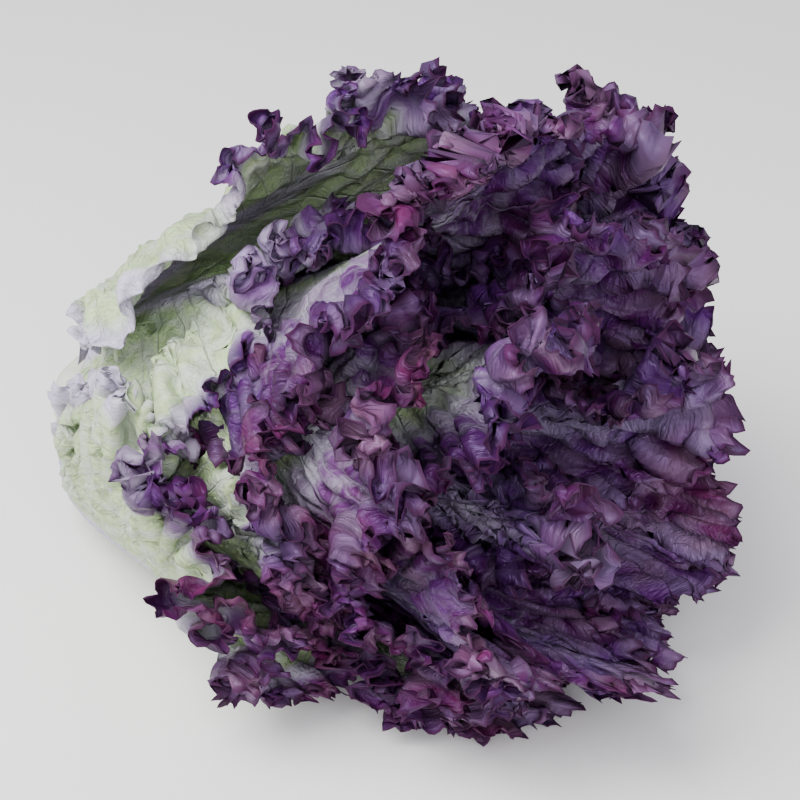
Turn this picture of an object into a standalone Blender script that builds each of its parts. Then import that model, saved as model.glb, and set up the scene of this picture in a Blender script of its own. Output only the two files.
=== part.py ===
"""A head of frilled red lettuce lying on its side: a short cut stem, the large leaves that grow up
it in a spiral, and the heart of small leaves at its tip."""

import math

import bmesh
import bpy
import numpy as np
from mathutils import Matrix, Vector
from mathutils.bvhtree import BVHTree

# Driving dimensions, in metres and degrees. In the head's own frame the cut stem stands on the origin,
# +Z runs up through the heart, and azimuth 0 is the side that ends up on the table.
LEAF_COUNT = 20
GOLDEN_ANGLE = 137.508
FIRST_AZIMUTH = 154.0
OUTER_LENGTH = 0.192
INNER_LENGTH = 0.178
LOWEST_ROOT = 0.007
HIGHEST_ROOT = 0.058
STEM_LENGTH = 0.062
STEM_RADIUS = 0.016
STEM_TIP_RADIUS = 0.006
BLADE_THICKNESS = 0.0009
OUTER_RIB = 0.0036
INNER_RIB = 0.0020
FITTING_GAP = 0.0004

# How the midribs of the outermost and the innermost leaf rise, as angles away from the head's axis.
OUTER_SPLAY, INNER_SPLAY = 50.0, 8.0
OUTER_LEAN, INNER_LEAN = 17.0, 2.0
OUTER_FLARE, INNER_FLARE = 44.0, 24.0
SPLAY_FADES = 0.20
# The leaves of the near side are shorter than their layer: the share of its length that they reach.
REACH = {0: 0.83, 1: 0.82, 3: 0.68, 5: 1.04, 6: 0.80, 8: 1.04, 9: 0.93, 11: 0.93}
# How far some leaves stand round from their place in the spiral, and lean out more than it gives them.
TURNED = {3: -13.0}
FALLEN_OPEN = {0: 6.0, 1: 2.4, 2: 1.4, 4: -1.4, 6: -1.1, 8: 1.2, 9: -0.8, 14: -0.3}

# How the head lies: its axis rises towards the heart, and the leaves underneath are pressed in.
AXIS_RISE = 11.7
PRESSED_IN = 0.38
PRESS_STARTS = 0.02
PRESS_FULL = 0.075
FULLER = 0.12
FULLER_AT = 125.0
PUSHED_ON = 0.10
SINK = 0.0045
BUTT_X = -0.1222
BUTT_Y = -0.0117
BUTT_Z = 0.0226

# The frill: one wave and its trough are this long round the margin, and it fades this far into the blade.
WAVE_LENGTH = 0.044
OUTER_WAVE = 0.0090
INNER_WAVE = 0.0065
OUTER_FADE = 0.055
INNER_FADE = 0.034
TOOTH = 0.0032
STEPS_PER_WAVE = 4
OPEN_LEAVES = 9
OPEN_ROWS = (0.0, 0.28, 0.54, 0.78, 1.0)
CLOSED_ROWS = (0.0, 0.36, 0.72, 1.0)
# A leaf keeps to its own half of the space up to its neighbours, less this much.
CLEARANCE = 0.0022
OPEN_SPACE = 0.030
# What still touches after that moves inward by small steps.
TOUCHING = 0.00015
STEP_INWARD = 0.00025
MOST_STEPS = 30

# The heart: small upright leaves round a core that carries on from the stem's tip.
HEART_LEAVES = 3
HEART_ROWS = (0.0, 0.35, 0.68, 1.0)
HEART_LENGTH = 0.118
HEART_LEAN = (-3.0, 0.0)
HEART_FLARE = 10.0
HEART_ROOT = 0.0665
ROOT_STEP = 0.004
CORE_BASE = 0.0624
CORE_LENGTH = 0.050
CORE_RADIUS = 0.0056

TABLE_SAMPLES = 201
TINY = 1e-5
SEED = 7


def between(inner, outer, rank):
    """The value at a rank from 0, the innermost leaf, to 1, the outermost."""
    return inner + (outer - inner) * rank


def ease(x, low, high):
    """0 below low, 1 above high, and a smooth rise in between."""
    share = np.clip((x - low) / (high - low), 0.0, 1.0)
    return share * share * (3.0 - 2.0 * share)


def stem_radius_at(height):
    return between(STEM_RADIUS, STEM_TIP_RADIUS, height / STEM_LENGTH)


def running_length(points):
    """Length along a row of points, from 0 at the first."""
    steps = np.linalg.norm(np.diff(points, axis=0), axis=1)
    return np.concatenate([[0.0], np.cumsum(steps)])


class Leaf:
    """The middle surface of one leaf.

    A point on it is named by around, from 0 at one corner of the leaf's foot, round the margin past the
    tip at 0.5, to 1 at the other corner, and by out, from 0 on the midrib to 1 on the margin."""

    def __init__(self, number, rank, length, lean, flare, root_radius, root_height):
        draw = np.random.default_rng(SEED * 100 + number)
        self.number = number
        self.rank = rank
        self.azimuth = math.radians(FIRST_AZIMUTH + number * GOLDEN_ANGLE + TURNED.get(number, 0.0))
        self.length = length * (1.0 + 0.015 * draw.uniform(-1, 1))
        self.reach = self.length * REACH.get(number, 1.0)
        self.rib = between(INNER_RIB, OUTER_RIB, rank)
        self.wave = between(INNER_WAVE, OUTER_WAVE, rank)
        self.fade = between(INNER_FADE, OUTER_FADE, rank)
        self.frill_from = between(0.10, 0.07, rank ** 0.3), between(0.42, 0.30, rank ** 0.3)
        self.phase = draw.uniform(0, 2 * math.pi, 4)
        self.lean = math.radians(lean)
        self.flare = math.radians(flare + 2 * draw.uniform(-1, 1))
        self.lay_midrib(root_radius, root_height)
        self.draw_outline()
        self.waves = round(self.perimeter / WAVE_LENGTH)

    def lay_midrib(self, root_radius, root_height):
        """The midrib leaves the stem steeply, turns up along the head, and flares out again at its tip."""
        splay = math.radians(between(INNER_SPLAY, OUTER_SPLAY, self.rank ** 0.7))
        self.share = np.linspace(0.0, 1.0, TABLE_SAMPLES)
        tilt = splay * np.exp(-self.share / SPLAY_FADES) + self.lean
        tilt += self.flare * ease(self.share, 0.50, 1.02)
        step = self.length / (TABLE_SAMPLES - 1)
        middle = (tilt[1:] + tilt[:-1]) / 2
        root = root_radius + self.rib * math.cos(splay + self.lean)
        self.radius = root + np.concatenate([[0.0], np.cumsum(np.sin(middle) * step)])
        self.height = root_height + np.concatenate([[0.0], np.cumsum(np.cos(middle) * step)])

    def draw_outline(self):
        """A spoon outline: a narrow foot that widens to a broad round top."""
        shoulder = 0.60 * self.reach
        foot = between(0.005, 0.012, self.rank)
        widest_at = np.interp(0.62 * self.reach / self.length, self.share, self.radius)
        half = min(0.090, widest_at * math.radians(64.0))
        up = np.linspace(0.0, 1.0, TABLE_SAMPLES)
        turn = np.linspace(0.0, math.pi / 2, TABLE_SAMPLES)[1:]
        side_x = foot + (half - foot) * (0.25 * up + 0.75 * ease(up, 0.0, 1.0))
        top_x = half * np.cos(turn) ** 0.85
        top_y = shoulder + (self.reach - shoulder) * np.sin(turn) ** 0.95
        x = np.concatenate([side_x, top_x])
        y = np.concatenate([up * shoulder, top_y])
        x = np.concatenate([-x, x[::-1][1:]])
        y = np.concatenate([y, y[::-1][1:]])
        run = running_length(np.stack([x, y], -1))
        self.perimeter = run[-1]
        self.margin_at, self.margin_x, self.margin_y = run / run[-1], x, y

    def half_angle(self, share):
        """Half the angle that the leaf spans round the head's axis at a share of its length."""
        half = len(self.margin_y) // 2 + 1
        across = np.interp(share * self.length, self.margin_y[:half], -self.margin_x[:half])
        return across / np.maximum(np.interp(share, self.share, self.radius), 0.010)

    def meet(self, others):
        """Find how far each other leaf's layer lies from this one's, and where the two are nearest."""
        self.outer, self.inner = [], []
        own = np.stack([self.radius, self.height], -1)
        for other in others:
            if other is self:
                continue
            theirs = np.stack([other.radius, other.height], -1)
            distance = np.linalg.norm(own[:, None] - theirs[None], axis=-1)
            nearest = distance.argmin(axis=1)
            pair = (other, distance.min(axis=1), self.share[nearest])
            (self.outer if other.number < self.number else self.inner).append(pair)

    def room(self, neighbours, angle, share):
        """How far a point may move towards those neighbours, which matter only where they lie."""
        free = np.full(len(share), OPEN_SPACE)
        for other, distance, mate in neighbours:
            offset = np.abs((angle - other.azimuth + math.pi) % (2 * math.pi) - math.pi)
            beyond = offset - other.half_angle(np.interp(share, self.share, mate))
            halfway = np.interp(share, self.share, distance) / 2 - CLEARANCE
            free = np.minimum(free, np.maximum(halfway, TINY) + OPEN_SPACE * ease(beyond, 0.15, 0.60))
        return free

    def flat(self, around, out):
        """The point before the leaf is curved: across, along, and its distance in from the margin."""
        out = np.maximum(out, 0.0)
        margin_x = np.interp(around, self.margin_at, self.margin_x)
        margin_y = np.interp(around, self.margin_at, self.margin_y)
        up = 1.0 - np.abs(2.0 * around - 1.0)
        foot_y = np.minimum(0.82 * self.reach * up ** 1.1, 0.9 * margin_y)
        along = foot_y + (margin_y - foot_y) * out ** 0.85
        return margin_x * out, along, np.hypot(margin_x, margin_y - foot_y) * (1.0 - out)

    def curved(self, around, out):
        """The smooth blade, wrapped round the head's axis."""
        across, along, _ = self.flat(around, out)
        share = along / self.length
        radius = np.interp(share, self.share, self.radius)
        height = np.interp(share, self.share, self.height)
        angle = self.azimuth + across / np.maximum(radius, 0.010)
        return np.stack([radius * np.cos(angle), radius * np.sin(angle), height], -1)

    def wave_count(self, around):
        """Waves of the frill from the foot's corner to here. They crowd and stretch a little."""
        turn = 2 * math.pi * around
        crowd = 0.14 * (np.sin(3 * turn + self.phase[0]) - math.sin(self.phase[0]))
        crowd += 0.05 * (np.sin(7 * turn + self.phase[1]) - math.sin(self.phase[1]))
        return self.waves * around + crowd

    def frill_share(self, around, out):
        """How much of the frill reaches a point: none at the foot and midrib, all of it at the margin."""
        depth = self.flat(around, out)[2]
        up = 1.0 - np.abs(2.0 * around - 1.0)
        return np.clip(1.0 - depth / self.fade, 0.0, 1.1) ** 1.5 * ease(up, *self.frill_from)

    def directions(self, around, out):
        """Unit vectors along the margin, outward in the blade, and square to it on its outer face."""
        step = 2e-3
        later, earlier = np.minimum(around + step, 1.0), np.maximum(around - step, 0.0)
        along = self.curved(later, out) - self.curved(earlier, out)
        away = self.curved(around, out + step) - self.curved(around, out - step)
        square = np.cross(away, along)
        square /= np.linalg.norm(square, axis=-1, keepdims=True) + TINY ** 2
        along /= np.linalg.norm(along, axis=-1, keepdims=True) + TINY ** 2
        return along, np.cross(along, square), square

    def frilled(self, around, out):
        """The blade with its main frill, which stands square to it, and a tooth on each crest and trough."""
        _, outward, square = self.directions(around, out)
        count = self.wave_count(around)
        share = self.frill_share(around, out)
        swell = 1.0 + 0.25 * np.sin(10 * math.pi * around + self.phase[3])
        rise = self.wave * swell * share * np.sin(2 * math.pi * count)
        across, along, _ = self.flat(around, out)
        upward = along / self.length
        angle = self.azimuth + across / np.maximum(np.interp(upward, self.share, self.radius), 0.010)
        outward_room = self.room(self.outer, angle, upward)
        inward_room = self.room(self.inner, angle, upward)
        room = np.where(rise > 0, outward_room, inward_room)
        rise = room * np.tanh(rise / room)
        tooth = -TOOTH * share * np.cos(4 * math.pi * count) * (out > 0.9)
        return self.curved(around, out) + rise[:, None] * square + tooth[:, None] * outward

    def thickness(self, around, out):
        across, along, _ = self.flat(around, out)
        ridge = np.exp(-(across / 0.008) ** 2) * np.clip(1.0 - along / (0.65 * self.length), 0.0, 1.0)
        return BLADE_THICKNESS + (self.rib - BLADE_THICKNESS) * ridge


def pressed(points):
    """The head out of round: pushed in and longer underneath, and fuller at the back of its crown."""
    radius = np.hypot(points[:, 0], points[:, 1])
    azimuth = np.arctan2(points[:, 1], points[:, 0])
    down = (0.5 + 0.5 * np.cos(azimuth)) ** 1.5 * ease(radius, PRESS_STARTS, PRESS_FULL)
    back = (0.5 + 0.5 * np.cos(azimuth - math.radians(FULLER_AT))) ** 2 * ease(points[:, 2], 0.06, 0.15)
    squeeze = (1.0 - PRESSED_IN * down) * (1.0 + FULLER * back)
    stretch = 1.0 + PUSHED_ON * down * ease(points[:, 2], 0.04, 0.16)
    return points * np.stack([squeeze, squeeze, stretch], -1)


def lying():
    """The head's own frame turned on to its side and set down behind the origin."""
    turned = Matrix.Rotation(math.radians(90.0 - AXIS_RISE), 4, "Y")
    return Matrix.Translation((BUTT_X, BUTT_Y, BUTT_Z)) @ turned


def laid(points):
    """Points of the head's own frame where they end up, the lowest ones sunk a little on to the table."""
    matrix = np.array(lying())
    placed = pressed(points) @ matrix[:3, :3].T + matrix[:3, 3]
    placed[:, 2] += SINK * (1.0 - ease(placed[:, 2], -SINK, 4 * SINK))
    return placed


def finish(name, colour, roughness):
    material = bpy.data.materials.new(name)
    material.use_nodes = True
    shader = material.node_tree.nodes["Principled BSDF"]
    shader.inputs["Base Color"].default_value = (*colour, 1.0)
    shader.inputs["Roughness"].default_value = roughness
    shader.inputs["Metallic"].default_value = 0.0
    return material


def blade(name, leaf, rows, collection, lie_down=laid):
    """One leaf: a grid folded along the midrib, bent to shape, and thickened on its outer face."""
    columns = STEPS_PER_WAVE * leaf.waves
    fine = np.linspace(0.0, 1.0, 4 * TABLE_SAMPLES)
    bm = bmesh.new()
    bmesh.ops.create_grid(bm, x_segments=columns, y_segments=len(rows) - 1, size=0.5)
    place = np.array([v.co[:2] for v in bm.verts]) + 0.5
    out = np.array(rows)[np.rint(place[:, 1] * (len(rows) - 1)).astype(int)]
    on_crest = np.interp(place[:, 0] * leaf.waves, leaf.wave_count(fine), fine)
    around = place[:, 0] + (on_crest - place[:, 0]) * ease(out, 0.0, 0.6)
    thickness = leaf.thickness(around, out)
    points = lie_down(leaf.frilled(around, out))
    points[:, 2] = np.maximum(points[:, 2], 0.6 * thickness)
    weights = bm.verts.layers.deform.verify()
    for vertex, point, depth in zip(bm.verts, points, thickness):
        vertex.co = point
        vertex[weights][0] = float(depth / leaf.rib)
    bmesh.ops.remove_doubles(bm, verts=bm.verts, dist=TINY)
    bmesh.ops.triangulate(bm, faces=bm.faces, quad_method="SHORT_EDGE")
    mesh = bpy.data.meshes.new(name)
    bm.to_mesh(mesh)
    bm.free()
    leaf_object = bpy.data.objects.new(name, mesh)
    collection.objects.link(leaf_object)
    leaf_object.vertex_groups.new(name="thickness")
    thicken = leaf_object.modifiers.new("thicken", "SOLIDIFY")
    thicken.thickness = leaf.rib
    thicken.offset = 1.0
    thicken.vertex_group = "thickness"
    thicken.use_even_offset = False
    leaf_object.modifiers.new("triangles", "TRIANGULATE")
    return leaf_object


def applied(source):
    """The object's modifiers made part of its mesh, with nothing below the table."""
    graph = bpy.context.evaluated_depsgraph_get()
    mesh = bpy.data.meshes.new_from_object(source.evaluated_get(graph))
    source.modifiers.clear()
    source.data = mesh
    for vertex in mesh.vertices:
        vertex.co.z = max(vertex.co.z, 0.0)
    return source


def give_way(leaves):
    """Where two leaves still touch, move the inner one a little towards the axis until all are clear."""
    foot, axis = Vector(lying().translation), lying().to_3x3() @ Vector((0.0, 0.0, 1.0))
    for _ in range(MOST_STEPS):
        trees = []
        for leaf in leaves:
            faces = [tuple(face.vertices) for face in leaf.data.polygons]
            trees.append(BVHTree.FromPolygons([v.co for v in leaf.data.vertices], faces, epsilon=TOUCHING))
        touching = False
        for inner, leaf in enumerate(leaves):
            half = len(leaf.data.vertices) // 2
            moved = set()
            for outer in range(inner):
                for _, face in trees[outer].overlap(trees[inner]):
                    moved.update(v % half for v in leaf.data.polygons[face].vertices)
            for vertex in [leaf.data.vertices[i] for base in moved for i in (base, base + half)]:
                inward = foot + axis * axis.dot(vertex.co - foot) - vertex.co
                vertex.co += inward.normalized() * STEP_INWARD
                vertex.co.z = max(vertex.co.z, 0.0)
            touching = touching or bool(moved)
        if not touching:
            return


def large_leaf(number):
    rank = 1.0 - number / (LEAF_COUNT - 1)
    height = between(HIGHEST_ROOT, LOWEST_ROOT, rank)
    lean = between(INNER_LEAN, OUTER_LEAN, rank ** 0.55) + FALLEN_OPEN.get(number, 0.0)
    flare = between(INNER_FLARE, OUTER_FLARE, rank ** 0.55)
    length = between(INNER_LENGTH, OUTER_LENGTH, rank)
    return Leaf(number, rank, length, lean, flare, stem_radius_at(height) + FITTING_GAP, height)


def heart_leaf(number):
    rank = 1.0 - number / (HEART_LEAVES - 1)
    height = HEART_ROOT + ROOT_STEP * number
    lean = between(*HEART_LEAN, rank)
    return Leaf(LEAF_COUNT + number, 0.0, HEART_LENGTH, lean, HEART_FLARE, 0.5 * CORE_RADIUS, height)


def spiral():
    """All the leaves' middle surfaces, from the outermost to the middle of the heart."""
    leaves = [large_leaf(number) for number in range(LEAF_COUNT)]
    leaves += [heart_leaf(number) for number in range(HEART_LEAVES)]
    for leaf in leaves:
        leaf.meet(leaves)
    return leaves


def large_leaves(leaves, collection, material):
    """The leaves that each stand as their own solid, a fitting gap off the stem."""
    made = []
    for leaf in leaves:
        rows = OPEN_ROWS if leaf.number < OPEN_LEAVES else CLOSED_ROWS
        made.append(blade(f"leaf_{leaf.number + 1:02d}", leaf, rows, collection))
    bpy.context.view_layer.update()
    for leaf_object in made:
        leaf_object.data.materials.append(material)
        applied(leaf_object)
    give_way(made)


def heart(leaves, collection, material):
    """The core with the small leaves grown on to it, as one solid."""
    profile = [
        (0.0, CORE_BASE + CORE_LENGTH),
        (0.5 * CORE_RADIUS, CORE_BASE + CORE_LENGTH),
        (CORE_RADIUS, CORE_BASE),
        (0.0, CORE_BASE),
    ]
    solid = turned("heart", profile, 16, collection)
    solid.data.materials.append(material)
    for leaf in leaves:
        small = blade(f"heart_leaf_{leaf.number + 1:02d}", leaf, HEART_ROWS, collection)
        small.hide_render = True
        small.display_type = "WIRE"
        grow = solid.modifiers.new(small.name, "BOOLEAN")
        grow.operation = "UNION"
        grow.solver = "MANIFOLD"
        grow.object = small
    bpy.context.view_layer.update()
    fill_pockets(applied(solid).data)


def fill_pockets(mesh):
    """Keep the largest shell only: the others are slivers where the small leaves cross."""
    bm = bmesh.new()
    bm.from_mesh(mesh)
    left = set(bm.faces)
    shells = []
    while left:
        shell = {left.pop()}
        unread = list(shell)
        while unread:
            fresh = {face for edge in unread.pop().edges for face in edge.link_faces} - shell
            shell |= fresh
            unread.extend(fresh)
        left -= shell
        shells.append(shell)
    largest = max(shells, key=len)
    slivers = [face for face in bm.faces if face not in largest]
    bmesh.ops.delete(bm, geom=slivers, context="FACES")
    bmesh.ops.triangulate(bm, faces=bm.faces, quad_method="SHORT_EDGE")
    bm.to_mesh(mesh)
    bm.free()


def turned(name, profile, steps, collection):
    """A profile of (radius, height) points, outer side from top to bottom, spun about the head's axis."""
    mesh = bpy.data.meshes.new(name)
    edges = [(i, i + 1) for i in range(len(profile) - 1)]
    mesh.from_pydata([(radius, 0.0, height) for radius, height in profile], edges, [])
    solid = bpy.data.objects.new(name, mesh)
    collection.objects.link(solid)
    spin = solid.modifiers.new("spin", "SCREW")
    spin.steps = spin.render_steps = steps
    spin.use_merge_vertices = True
    spin.merge_threshold = TINY
    solid.matrix_world = lying()
    return solid


def stem(collection, material):
    """The cut stem: a stout taper with a rounded shoulder and a flat cut foot."""
    shoulder = 0.003
    profile = [
        (0.0, STEM_LENGTH),
        (STEM_TIP_RADIUS, STEM_LENGTH),
        (stem_radius_at(shoulder), shoulder),
        (STEM_RADIUS - 0.5 * shoulder, 0.0),
        (0.0, 0.0),
    ]
    solid = turned("stem", profile, 20, collection)
    solid.data.materials.append(material)
    return solid


for leftover in list(bpy.data.objects):
    bpy.data.objects.remove(leftover)
head = bpy.data.collections.new("lollo_rosso_lettuce")
bpy.context.scene.collection.children.link(head)
all_leaves = spiral()
stem(head, finish("pale_stem", (0.62, 0.66, 0.50), 0.5))
large_leaves(all_leaves[:LEAF_COUNT], head, finish("red_leaf", (0.12, 0.05, 0.13), 0.5))
heart(all_leaves[LEAF_COUNT:], head, finish("heart_leaf", (0.30, 0.16, 0.24), 0.5))
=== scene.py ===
"""A head of frilled red lettuce on its side: leaves in their spiral, heart, cut stem and table."""

import math

import bmesh
import bpy
import numpy as np
from mathutils import Matrix, Vector


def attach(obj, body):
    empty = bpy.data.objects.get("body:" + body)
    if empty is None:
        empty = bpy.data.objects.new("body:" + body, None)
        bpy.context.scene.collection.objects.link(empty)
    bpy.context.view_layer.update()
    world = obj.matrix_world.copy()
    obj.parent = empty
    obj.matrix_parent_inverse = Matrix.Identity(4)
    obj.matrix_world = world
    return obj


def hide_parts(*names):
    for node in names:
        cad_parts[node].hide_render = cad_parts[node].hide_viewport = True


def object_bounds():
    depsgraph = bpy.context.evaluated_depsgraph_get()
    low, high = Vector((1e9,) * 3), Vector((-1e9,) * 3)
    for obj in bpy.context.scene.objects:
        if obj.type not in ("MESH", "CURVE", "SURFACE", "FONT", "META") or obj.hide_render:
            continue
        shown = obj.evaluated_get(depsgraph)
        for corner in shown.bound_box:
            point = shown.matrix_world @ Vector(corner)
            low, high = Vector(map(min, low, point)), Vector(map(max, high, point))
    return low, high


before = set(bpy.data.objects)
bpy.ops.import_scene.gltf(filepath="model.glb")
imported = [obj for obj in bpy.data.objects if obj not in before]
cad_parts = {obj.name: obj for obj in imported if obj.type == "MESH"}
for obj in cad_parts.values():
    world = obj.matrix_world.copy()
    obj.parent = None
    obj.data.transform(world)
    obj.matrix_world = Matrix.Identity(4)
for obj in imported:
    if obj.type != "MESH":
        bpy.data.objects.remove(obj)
cad_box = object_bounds()

# The large leaves. Each grows from the stem as a thick pale rib and widens to a thin blade, puckered between
# its veins. Its margin is folded three times over, ever finer, and ends in lobes and sharp teeth. Layers and
# main folds are the solid model's. Values are in metres and degrees, for the head standing on its stem.
LEAF_COUNT = 20
GOLDEN_ANGLE = 137.508
FIRST_AZIMUTH = 154.0
SEED = 7
TINY = 1e-5
# The outermost and the innermost leaf. Those between change evenly from one to the other.
OUTER_LENGTH, INNER_LENGTH = 0.192, 0.178
LOWEST_ROOT, HIGHEST_ROOT, ROOT_PROUD = 0.007, 0.058, 0.0004
OUTER_RIB, INNER_RIB = 0.0036, 0.0020
OUTER_SPLAY, INNER_SPLAY, SPLAY_FADES = 50.0, 8.0, 0.20
OUTER_LEAN, INNER_LEAN, LEAN_CURVE = 17.0, 2.0, 0.55
OUTER_FLARE, INNER_FLARE = 44.0, 24.0
FLARE_FROM, FLARE_TO = 0.50, 1.02
OUTER_FOOT, INNER_FOOT = 0.012, 0.005
LENGTH_VARIES, FLARE_VARIES = 0.015, 2.0
# Leaves that depart from the rule, by number: shorter or longer, turned, and fallen open or shut.
REACH = {0: 0.83, 1: 0.82, 3: 0.68, 5: 1.04, 6: 0.80, 8: 1.04, 9: 0.93, 11: 0.93}
TURNED = {3: -13.0}
FALLEN_OPEN = {0: 6.0, 1: 2.4, 2: 1.4, 4: -1.4, 6: -1.1, 8: 1.2, 9: -0.8, 14: -0.3}
# The outline of the flat blade, as shares of its reach, and its greatest half width, in metres and degrees.
SHOULDER, WIDEST = 0.60, 0.62
HALF_WIDTH, HALF_TURN = 0.090, 64.0
RIB_REACH = 0.82
SAMPLES = 201
# The stem that the leaves grow from, and the least distance from its axis at which an angle is worked out.
STEM_LENGTH, STEM_RADIUS, STEM_TIP_RADIUS = 0.062, 0.016, 0.006
NEAREST_AXIS = 0.010
# The room between leaves. It opens up beside a leaf, between these two angles in radians past its side.
CLEARANCE, OPEN_SPACE, LEAST_ROOM, ROOM_LEFT = 0.0008, 0.030, 5e-4, 0.0016
BESIDE, WELL_CLEAR = 0.15, 0.60
# The three orders of frill: the length of a fold along the margin, its height, and its reach inwards.
FOLD, OUTER_FOLD, INNER_FOLD = 0.044, 0.0100, 0.0070
OUTER_FADE, INNER_FADE = 0.055, 0.034
RUFFLE, RUFFLE_RISE, RUFFLE_FADE = 0.0165, 0.0064, 0.060
CRIMP, CRIMP_RISE, CRIMP_FADE = 0.0072, 0.0022, 0.011
# How far folds lean outwards, and how far they wander sideways, as shares of their height and length.
FOLD_LEANS, FOLD_VARIES, FOLD_MEANDERS = 0.45, 0.25, 0.60
RUFFLE_LEANS, RUFFLE_VARIES, RUFFLE_MEANDERS = 0.35, 0.35, 0.75
CROWDING = ((3, 0.14), (7, 0.05))
# Where the frill starts and is full, up the side of the innermost and the outermost leaf.
FRILL_STARTS, FRILL_FULL = (0.10, 0.07), (0.42, 0.30)
# The lobes of the edge, and the teeth on them, which stand this many columns of the leaf's grid apart.
LOBE, LOBE_LENGTH, LOBE_FADE = 0.0100, 0.0050, 0.010
TOOTH_COLUMNS, TOOTH_LENGTH, TOOTH_FADE = 4, 0.0028, 0.0042
# The blisters between the veins, and larger dents as (depth, size).
BLISTER, BLISTER_LONGER, BLISTER_RISE = 0.0115, 1.25, 0.0024
DENT, SMALL_DENT = (0.0017, 0.036), (0.0011, 0.019)
WANDER_SIZE, GREEN_WANDERS, SWELLS = 0.038, 0.010, 9
# The thickness of the blade, the share of it left at the very rim, and the rib's half width and reach.
LEAF_THICKNESS, RIM_THICKNESS, RIM_WIDTH = 0.0005, 0.4, 0.003
RIB_WIDTH, RIB_ENDS = 0.0075, 0.80
# How far in from the margin the red reaches, and the paler leaves by number.
RED_REACH = 0.120
PALE_LEAVES = {0: 0.034, 1: 0.022, 3: 0.032, 4: 0.040, 6: 0.030}
PALE_LEAVES |= {8: 0.085, 10: 0.050, 11: 0.060, 16: 0.045, 19: 0.060}
# How high above the cut the blade is still green, and how high it is still smooth.
GREEN_FOOT, GREEN_FADE = 0.045, 0.040
GREEN_FEET = {0: 0.094, 1: 0.088, 3: 0.094, 4: 0.062, 6: 0.066}
SMOOTH_FOOT, SMOOTH_FADE, SMOOTH_KEEPS = 0.020, 0.030, 0.35
SMOOTH_FEET = {0: 0.100, 3: 0.035}
# How far the purple turns to wine red, on most leaves and on those named.
WARM = 0.15
WARM_LEAVES = {1: 1.0, 4: 0.8, 6: 0.9, 8: 0.5, 9: 0.7, 11: 1.0, 14: 0.5, 15: 0.6}
# The grid of a leaf: blocks of columns to the metre of margin, rows from the rib out, and the rows from the
# margin in that are split once more, three times over.
OUTER_COLUMNS, INNER_COLUMNS = 400, 260
MANY_ROWS, FEW_ROWS, MANY_ROWS_UNTIL = 34, 24, 14
FINE_ROWS = (15, 7, 2)
COLUMN_BLOCK = 2 ** len(FINE_ROWS)
ROWS_CROWD_OUT, FINE_SAMPLES, EVENED_OUT = 1.4, 2001, 4
SHORT_STEP, LONG_STEP = 0.5, 2.5
# How the whole head lies: its tilt and the place of its cut, pressed in underneath and fuller at the back.
AXIS_RISE, SINK = 11.7, 0.0045
BUTT = (-0.1222, -0.0117, 0.0226)
PRESSED_IN, PRESS_STARTS, PRESS_FULL = 0.38, 0.02, 0.075
FULLER, FULLER_AT, PUSHED_ON = 0.12, 125.0, 0.10
# The lowest frill rests on the table, and the topmost settles a little under its own weight.
LOWEST, SETTLES_FROM, TOP_SETTLES = 0.0008, 0.162, 0.5


def between(inner, outer, rank):
    """The value at a rank from 0, the innermost leaf, to 1, the outermost."""
    return inner + (outer - inner) * rank


def ease(x, low, high):
    """0 below low, 1 above high, and a smooth rise in between."""
    share = np.clip((x - low) / (high - low), 0.0, 1.0)
    return share * share * (3.0 - 2.0 * share)


def running_length(points):
    """Length along a row of points, from 0 at the first."""
    return np.concatenate([[0.0], np.cumsum(np.linalg.norm(np.diff(points, axis=0), axis=1))])


def unit(vectors):
    """The same directions, with length 1."""
    return vectors / (np.linalg.norm(vectors, axis=-1, keepdims=True) + TINY**2)


def directions(sheet):
    """Unit vectors of a grid of points: along the margin, outward in the blade, and square to its face."""
    for _ in range(EVENED_OUT):
        sheet = np.concatenate([sheet[:1], (sheet[:-2] + 2 * sheet[1:-1] + sheet[2:]) / 4, sheet[-1:]])
    along = unit(np.gradient(sheet, axis=0))
    square = unit(np.cross(np.gradient(sheet, axis=1), along))
    return along, np.cross(along, square), square


def kept_in(rise, outward_room, inward_room):
    """A rise that flattens out before it fills the room on its side."""
    room = np.where(rise > 0, outward_room, inward_room)
    return room * np.tanh(rise / room)


def side_height(around):
    """How far up the leaf's side a place on its margin is: 0 at either foot and 1 at the tip."""
    return 1.0 - np.abs(2.0 * around - 1.0)


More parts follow.
